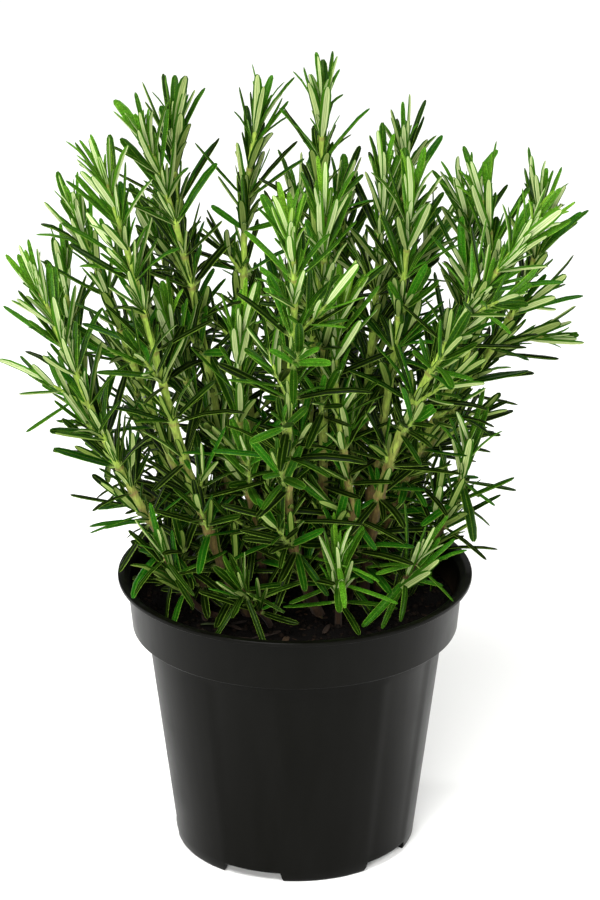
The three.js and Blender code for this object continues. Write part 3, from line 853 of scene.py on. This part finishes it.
def growTufts(plant):
    draws = random.Random(tufts["seed"])
    bundleDraws = random.Random(tufts["seed"] + 2)
    lowest = soil["top"] + tufts["lowest"]
    for stem in plant:
        stem["twigs"] = []
        others = othersOf(plant, stem)
        wishes = [*growTips(stem, draws), *growRisers(stem, draws), *growTwigs(stem, others, draws),
                  *growAxils(stem, draws), *growSkirt(stem, draws), *growBundles(stem, bundleDraws)]
        for shoot, wish in wishes:
            leaf = growLeaf(shoot, wish, others, tufts["dodges"], lowest, tufts["gap"])
            if leaf:
                stem["leaves"].append(leaf)


growTufts(plant)
print("all leaves placed:", sum(len(stem["leaves"]) for stem in plant),
      "on", sum(len(stem["twigs"]) for stem in plant), "twigs")


# One leaf: a blunt needle with rolled margins, a groove along its upper side and a woolly underside
leafLook = {
    "halfWidth": 1.95, "fullLength": 27, "longestShare": 1.1, "widthTaper": 0.5, "widthVaries": (0.74, 1.12),
    # (share of the length, share of the width)
    "rings": [(0, 0.34), (0.07, 0.5), (0.22, 0.86), (0.5, 1), (0.8, 0.95), (0.95, 0.7), (1, 0.3)],
    # (across, up) round the leaf in half widths, from the right edge over the top
    "section": [(1, -0.1), (0.56, 0.2), (0, 0.02), (-0.56, 0.2), (-1, -0.1), (-0.57, -0.37), (0, -0.16),
                (0.57, -0.37)],
    "underFrom": -0.05,
    "youngWidth": 0.55, "widensOver": 16, "tipGrown": 3, "mainStretch": 1.03,
    # a leaf darkens with its distance from the tip, and with painted shade near the soil and toward the back
    "agesOver": 48, "shadeHeight": 60, "paintedShadeNearSoil": 0.55, "paintedBackShade": 0.34, "lightDepth": 90,
    # how much of the painted shade near the soil each sprout gets
    "sproutShade": {"sprout_front": 0.45, "sprout_front_right": 0.8, "sprout_left": 2,
                    "sprout_front_left": 2},
    "roll": 0.32, "sway": 0.1, "hook": 0.17, "hookRarity": 3, "sharpAngle": 50,
    "layers": ("ageAndPaintedShade", "growthTone"),
}


def newLeafMesh():
    bm = bmesh.new()
    bm.loops.layers.uv.new("leafUv")
    return bm, [bm.verts.layers.float.new(name) for name in leafLook["layers"]]


# Extrudes a ring of edges, and gives the new verts in the old order
def extrudeRing(bm, ring, edges):
    made = bmesh.ops.extrude_edge_only(bm, edges=edges)["geom"]
    edges = [item for item in made if isinstance(item, bmesh.types.BMEdge)]
    fresh = {item for item in made if isinstance(item, bmesh.types.BMVert)}
    return [next(e.other_vert(v) for e in v.link_edges if e.other_vert(v) in fresh) for v in ring], edges


# Runs along +Y from 0 to 1, with its upper side toward +Z
def makeLeafTemplate():
    section = leafLook["section"]
    widthAt = dict(leafLook["rings"])
    bm = bmesh.new()
    uv = bm.loops.layers.uv.new("leafUv")
    ring = [bm.verts.new((x, 0, z)) for x, z in section]
    edges = [bm.edges.new(pair) for pair in zip(ring, ring[1:] + ring[:1])]
    for place in widthAt:
        if place > 0:
            ring, edges = extrudeRing(bm, ring, edges)
        for vert, (x, z) in zip(ring, section):
            vert.co = (x * widthAt[place], place, z * widthAt[place])
    bmesh.ops.holes_fill(bm, edges=[e for e in bm.edges if e.is_boundary], sides=0)
    bmesh.ops.recalc_face_normals(bm, faces=bm.faces)
    widths = {round(place, 3): width for place, width in widthAt.items()}
    for face in bm.faces:
        isUnder = all(v.co.z < leafLook["underFrom"] * widths[round(v.co.y, 3)] for v in face.verts)
        face.material_index = 1 if isUnder and len(face.verts) == 4 else 0
        for loop in face.loops:
            width = widths[round(loop.vert.co.y, 3)]
            loop[uv].uv = (0.5 + 0.5 * loop.vert.co.x / width, loop.vert.co.y)
    mesh = bpy.data.meshes.new("leaf_template")
    bm.to_mesh(mesh)
    bm.free()
    return mesh


# Copies the leaf into a mesh, bent along its own midrib
def addLeaf(bm, template, leaf, layers, draws):
    start = len(bm.verts)
    bm.from_mesh(template)
    bm.verts.ensure_lookup_table()
    ageAndShadeLayer, toneLayer = layers
    length = leaf["length"]
    lengthShare = min(length / leafLook["fullLength"], leafLook["longestShare"])
    halfWidth = leafLook["halfWidth"] * lengthShare ** leafLook["widthTaper"]
    halfWidth *= draws.uniform(*leafLook["widthVaries"])
    widened = min(leaf["grown"] / leafLook["widensOver"], 1)
    halfWidth *= leafLook["youngWidth"] + (1 - leafLook["youngWidth"]) * widened
    across = leaf["face"].cross(leaf["along"])
    sway = draws.uniform(-1, 1) * leafLook["sway"] * length
    roll = draws.uniform(-1, 1) * leafLook["roll"]
    hook = draws.random() ** leafLook["hookRarity"] * leafLook["hook"]
    tone = draws.random()
    ageAndShade = leaf["ageAndShade"]
    frames = {}
    # The bend is the slope of the curl, which grows with the square, and the hook, with the fourth power
    for place in dict(leafLook["rings"]):
        bend = 2 * leaf["curl"] * place + 4 * hook * place ** 3
        heading = (leaf["along"] - leaf["face"] * bend).normalized()
        up = heading.cross(across)
        turn = roll * place
        side = across * cos(turn) + up * sin(turn)
        up = up * cos(turn) - across * sin(turn)
        centre = leafPoint(leaf, place) + across * (sway * place * place)
        centre -= leaf["face"] * (hook * length * place ** 4)
        frames[round(place, 3)] = (centre, side * halfWidth, up * halfWidth)
    for vert in bm.verts[start:]:
        x, y, z = vert.co
        centre, side, up = frames[round(y, 3)]
        vert.co = centre + side * x + up * z
        vert[ageAndShadeLayer] = ageAndShade
        vert[toneLayer] = tone


stemLook = {
    "sides": 10, "step": 2.2, "intoSoil": 6,
    "nodeSwell": 0.26, "nodeLength": 1.3, "squareness": 0.11, "endRadius": 0.4,
    "woodyHeight": 80, "woodyFoot": 8,
    "twigSides": 6, "twigStep": 3,
}


# A closed rod bent along a stem's line, swollen where its leaves stand
def addStem(bm, shoot, layers, sides, step, intoSoil, nodes, ageAndShade):
    ageAndShadeLayer, toneLayer = layers
    length = shoot["length"] + intoSoil
    steps = ceil(length / step)
    ring = bmesh.ops.create_circle(bm, segments=sides, radius=1)["verts"]
    angles = [atan2(v.co.y, v.co.x) for v in ring]
    edges = list({e for v in ring for e in v.link_edges})
    ends = list(edges)
    for i in range(steps + 1):
        if i > 0:
            ring, edges = extrudeRing(bm, ring, edges)
        along = i / steps * length - intoSoil
        t = max(along, 0) / shoot["length"]
        first, second = squareTo(headingOn(shoot, t))
        near = max((exp(-((along - n) / stemLook["nodeLength"]) ** 2) for n in nodes), default=0)
        closing = stemLook["endRadius"] if i == steps else 1
        centre = pointOn(shoot, t) + headingOn(shoot, 0) * min(along, 0)
        radius = radiusAt(shoot, t) * (1 + stemLook["nodeSwell"] * near) * closing
        woody = 1 - (along - stemLook["woodyFoot"]) / stemLook["woodyHeight"]
        for vert, angle in zip(ring, angles):
            reach = radius * (1 + stemLook["squareness"] * cos(4 * angle))
            vert.co = centre + first * (cos(angle) * reach) + second * (sin(angle) * reach)
            vert[ageAndShadeLayer] = ageAndShade if ageAndShade is not None else min(max(woody, 0), 1)
            vert[toneLayer] = near
    caps = bmesh.ops.holes_fill(bm, edges=ends + edges, sides=0)["faces"]
    walls = {f for e in bm.edges if e.is_manifold for f in e.link_faces} | set(caps)
    bmesh.ops.recalc_face_normals(bm, faces=list(walls))
    for face in walls:
        face.material_index = 2


def makeLeafyStem(stem, template, materials, draws):
    bm, layers = newLeafMesh()
    nodes = [stem["length"] - node["fromTip"] for node in stem["nodes"]]
    addStem(bm, stem, layers, stemLook["sides"], stemLook["step"], stemLook["intoSoil"], nodes, None)
    for twig in stem["twigs"]:
        addStem(bm, twig, layers, stemLook["twigSides"], stemLook["twigStep"], 0, [], 0)
    for i, leaf in enumerate(stem["leaves"]):
        if i < stem["mainCount"]:
            leaf["length"] *= leafLook["mainStretch"]
        # Painted shade: a leaf near the soil and toward the back is given a higher age, so its colour is
        # drawn darker
        shaded = max(leafLook["shadeHeight"] + soil["top"] - leaf["root"].z, 0) * leafLook["paintedShadeNearSoil"]
        shaded *= leafLook["sproutShade"].get(stem["name"], 1)
        if "grown" not in leaf:
            leaf["grown"] = leaf["fromTip"] + leafLook["tipGrown"]
        agedAndShaded = 1 - exp(-(leaf["fromTip"] + shaded) / leafLook["agesOver"])
        back = min(max(leaf["root"].y / leafLook["lightDepth"] + 0.5, 0), 1)
        leaf["ageAndShade"] = min(agedAndShaded + leafLook["paintedBackShade"] * back, 1)
        addLeaf(bm, template, leaf, layers, draws)
    piece = finishMesh("leafy_" + stem["name"], bm, materials, leafLook["sharpAngle"])
    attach(piece, "root")
    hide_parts(stem["name"])


# The leaf's green, from the yellow-green of a young leaf to the dark green of an old one, drawn darker still
# where painted shade is added to the age
def addLeafGreen(add, agedAndShaded):
    return add("ValToRGB", {0: agedAndShaded}, stops=[
        (0.04, "678f22"), (0.22, "3f6e13"), (0.45, "264e09"), (0.75, "102902"), (1.0, "081501")])


# What a leaf's material reads: how far along it and from its middle, its age with painted shade added, and
# its own tone
def readLeaf(add):
    uv = add("UVMap", {}, uv_map="leafUv")
    parts = add("SeparateXYZ", {0: uv}).node.outputs
    fromMiddle = add("Math", {0: parts[0], 1: 0.5}, operation="SUBTRACT")
    fromMiddle = add("Math", {0: fromMiddle}, operation="ABSOLUTE")
    return parts[1], fromMiddle, *readAgeShadeAndTone(add)


def readAgeShadeAndTone(add):
    return [add("Attribute", {}, attribute_name=name, output="Fac")
            for name in leafLook["layers"]]


# Upper side of a leaf: waxy, finely wrinkled and satin, paler in the groove and toward the root, and paler at
# the edge, partly from a painted highlight
def makeLeafUpper():
    material, add = newMaterial("rosemary_leaf_waxy_upper")
    place = add("TexCoord", {}, output="Object")
    along, fromMiddle, ageAndShade, tone = readLeaf(add)
    # Mottling, about 3 mm across
    mottle = add("TexNoise", {"Vector": place, "Scale": 330, "Detail": 3})
    shade = add("Math", {0: tone, 1: 0.56, 2: -0.32}, operation="MULTIPLY_ADD")
    agedAndShaded = add("Math", {0: ageAndShade, 1: shade}, operation="ADD", use_clamp=True)
    blotched = add("Math", {0: mottle, 1: 0.2, 2: agedAndShaded}, operation="MULTIPLY_ADD", use_clamp=True)
    colour = addLeafGreen(add, blotched)
    # Some leaves are a cooler, purer green than their neighbours
    cooler = add("MapRange", {"Value": tone, "From Min": 0.35, "From Max": 0.0, "To Max": 0.7})
    # A faint light line 0.4 mm wide in the groove, and a light edge 0.3 mm wide, partly the paler rolled
    # margin and partly a painted highlight
    lines = add("ValToRGB", {0: fromMiddle}, stops=[(0.0, 0.2), (0.06, 0.0), (0.42, 0.0), (0.5, 0.5)])
    foot = add("MapRange", {"Value": along, "From Min": 0.16, "From Max": 0.0, "To Max": 0.75})
    for share, paint in ((cooler, "135008"), (lines, "86a93c"), (foot, "a9c266")):
        colour = add("Mix", {0: share, 6: colour, 7: paint}, data_type="RGBA", output=2)
    # Wrinkles, 0.5 mm, with painted shade in their folds and painted light on their tops
    wrinkle = add("TexNoise", {"Vector": place, "Scale": 2000, "Detail": 2})
    paintedWrinkleShade = add("MapRange", {"Value": wrinkle, "From Min": 0.35, "From Max": 0.68, "To Min": 0.6,
                                         "To Max": 1.6})
    wrinkleShaded = add("VectorMath", {0: colour, "Scale": paintedWrinkleShade}, operation="SCALE")
    bump = add("Bump", {"Height": wrinkle, "Strength": 0.5, "Distance": 0.00012})
    return finishMaterial(material, {"Base Color": wrinkleShaded, "Roughness": 0.3, "Specular IOR Level": 0.03,
                                     "Normal": bump})


# Underside: pale, dull wool between the green rolled margins, darker with age and with painted shade
def makeLeafUnder():
    material, add = newMaterial("rosemary_leaf_woolly_underside")
    place = add("TexCoord", {}, output="Object")
    fromMiddle, ageAndShade, tone = readLeaf(add)[1:]
    agedAndShaded = add("Math", {0: tone, 1: 0.3, 2: ageAndShade}, operation="MULTIPLY_ADD", use_clamp=True)
    wool = add("ValToRGB", {0: agedAndShaded},
                   stops=[(0.1, "9cba62"), (0.35, "bccb93"), (0.75, "a3b370"), (1.0, "778c3e")])
    # The midrib is 0.2 mm wide, with painted shade 0.4 mm wide in the fold at each side of it, and painted
    # shade next to the margin
    paintedFoldShade = add("ValToRGB", {0: fromMiddle}, stops=[
        (0.0, 0.1), (0.03, 0.1), (0.08, 0.7), (0.14, 0.1), (0.22, 0.0), (0.28, 0.5)])
    margin = add("MapRange", {"Value": fromMiddle, "From Min": 0.275, "From Max": 0.305})
    marginAgeAndShade = add("Math", {0: agedAndShaded, 1: 0.65}, operation="MULTIPLY")
    colour = wool
    for share, paint in ((paintedFoldShade, "4f6a26"), (margin, addLeafGreen(add, marginAgeAndShade))):
        colour = add("Mix", {0: share, 6: colour, 7: paint}, data_type="RGBA", output=2)
    # Matted hairs, drawn at 0.4 mm so that they show
    hairs = add("TexNoise", {"Vector": place, "Scale": 2500, "Detail": 3})
    bump = add("Bump", {"Height": hairs, "Strength": 0.5, "Distance": 0.0002})
    return finishMaterial(material, {"Base Color": colour, "Roughness": 0.75, "Specular IOR Level": 0.03,
                                     "Normal": bump})


# Stem: downy yellow-green while young, ringed with brown at each leaf pair, and woody brown at the foot
def makeStemBark():
    material, add = newMaterial("rosemary_stem_downy_to_woody")
    place = add("TexCoord", {}, output="Object")
    ageAndShade, ringTone = readAgeShadeAndTone(add)
    # Fibres along the stem, 0.7 mm wide and drawn out upward, and patches of 5 mm
    drawn = add("Mapping", {"Vector": place, "Scale": (1, 1, 0.2)})
    fibres = add("TexNoise", {"Vector": drawn, "Scale": 1500, "Detail": 4})
    patches = add("TexNoise", {"Vector": place, "Scale": 180, "Detail": 3})
    varied = add("Math", {0: patches, 1: 0.8, 2: -0.34}, operation="MULTIPLY_ADD")
    agedAndShaded = add("Math", {0: ageAndShade, 1: varied}, operation="ADD", use_clamp=True)
    bark = add("ValToRGB", {0: agedAndShaded},
                   stops=[(0.0, "93b043"), (0.3, "84923f"), (0.6, "6a5a30"), (1.0, "2e2014")])
    ring = add("MapRange", {"Value": ringTone, "From Min": 0.5, "From Max": 0.95, "To Max": 0.6})
    ringed = add("Mix", {0: ring, 6: bark, 7: "7d5f3c"}, data_type="RGBA", output=2)
    streak = add("MapRange", {"Value": fibres, "From Min": 0.35, "From Max": 0.68, "To Min": 0.6,
                                        "To Max": 1.15})
    streaked = add("VectorMath", {0: ringed, "Scale": streak}, operation="SCALE")
    bump = add("Bump", {"Height": fibres, "Strength": 0.5, "Distance": 0.0003})
    return finishMaterial(material, {"Base Color": streaked, "Roughness": 0.62, "Specular IOR Level": 0.15,
                                     "Sheen Weight": 0.05, "Normal": bump})


leafTemplate = makeLeafTemplate()
leafDraws = random.Random(tufts["seed"] + 1)
leafMaterials = [makeLeafUpper(), makeLeafUnder(), makeStemBark()]
for stem in plant:
    makeLeafyStem(stem, leafTemplate, leafMaterials, leafDraws)
print("leafy stems made")


# Fallen leaves on the soil, dry and brown, a few still green
fallen = {
    "leaves": 42, "rootsOver": 0.93, "tipsOver": 0.97, "raised": 0.7,
    "length": (9, 18), "rise": (-0.05, 0.12), "curl": 0.1,
}


# Dry leaf: dull and brown, mottled over about 2 mm
def makeDryLeaf():
    material, add = newMaterial("rosemary_leaf_dry")
    place = add("TexCoord", {}, output="Object")
    tone = add("Attribute", {}, attribute_name="growthTone", output="Fac")
    mottle = add("TexNoise", {"Vector": place, "Scale": 500, "Detail": 3})
    mixed = add("Math", {0: mottle, 1: 0.3, 2: tone}, operation="MULTIPLY_ADD", use_clamp=True)
    colour = add("ValToRGB", {0: mixed},
                     stops=[(0.15, "120c07"), (0.6, "24180e"), (0.95, "3a2a18"), (1.0, "2c3618")])
    return finishMaterial(material, {"Base Color": colour, "Roughness": 0.8, "Specular IOR Level": 0.3})


def makeFallenLeaves(template, draws):
    bm, layers = newLeafMesh()
    for i in range(fallen["leaves"]):
        x, y = placeOnSoil(soilReach * fallen["rootsOver"], draws)
        facing = draws.uniform(0, 2 * pi)
        along = Vector((cos(facing), sin(facing), draws.uniform(*fallen["rise"]))).normalized()
        length = draws.uniform(*fallen["length"])
        if hypot(x + along.x * length, y + along.y * length) > soilReach * fallen["tipsOver"]:
            continue
        face = (Vector((0, 0, 1)) - along * along.z).normalized()
        leaf = {"root": Vector((x, y, soilHeight(x, y) + fallen["raised"])), "along": along, "face": face,
                "length": length, "curl": draws.uniform(-fallen["curl"], fallen["curl"]), "ageAndShade": 1,
                "grown": leafLook["widensOver"]}
        addLeaf(bm, template, leaf, layers, draws)
    piece = finishMesh("fallen_leaves", bm, [makeDryLeaf()], leafLook["sharpAngle"])
    for polygon in piece.data.polygons:
        polygon.material_index = 0  # both sides have dried to one brown
    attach(piece, "root")


makeFallenLeaves(leafTemplate, soilDraws)
bpy.data.meshes.remove(leafTemplate)
print("fallen leaves laid")
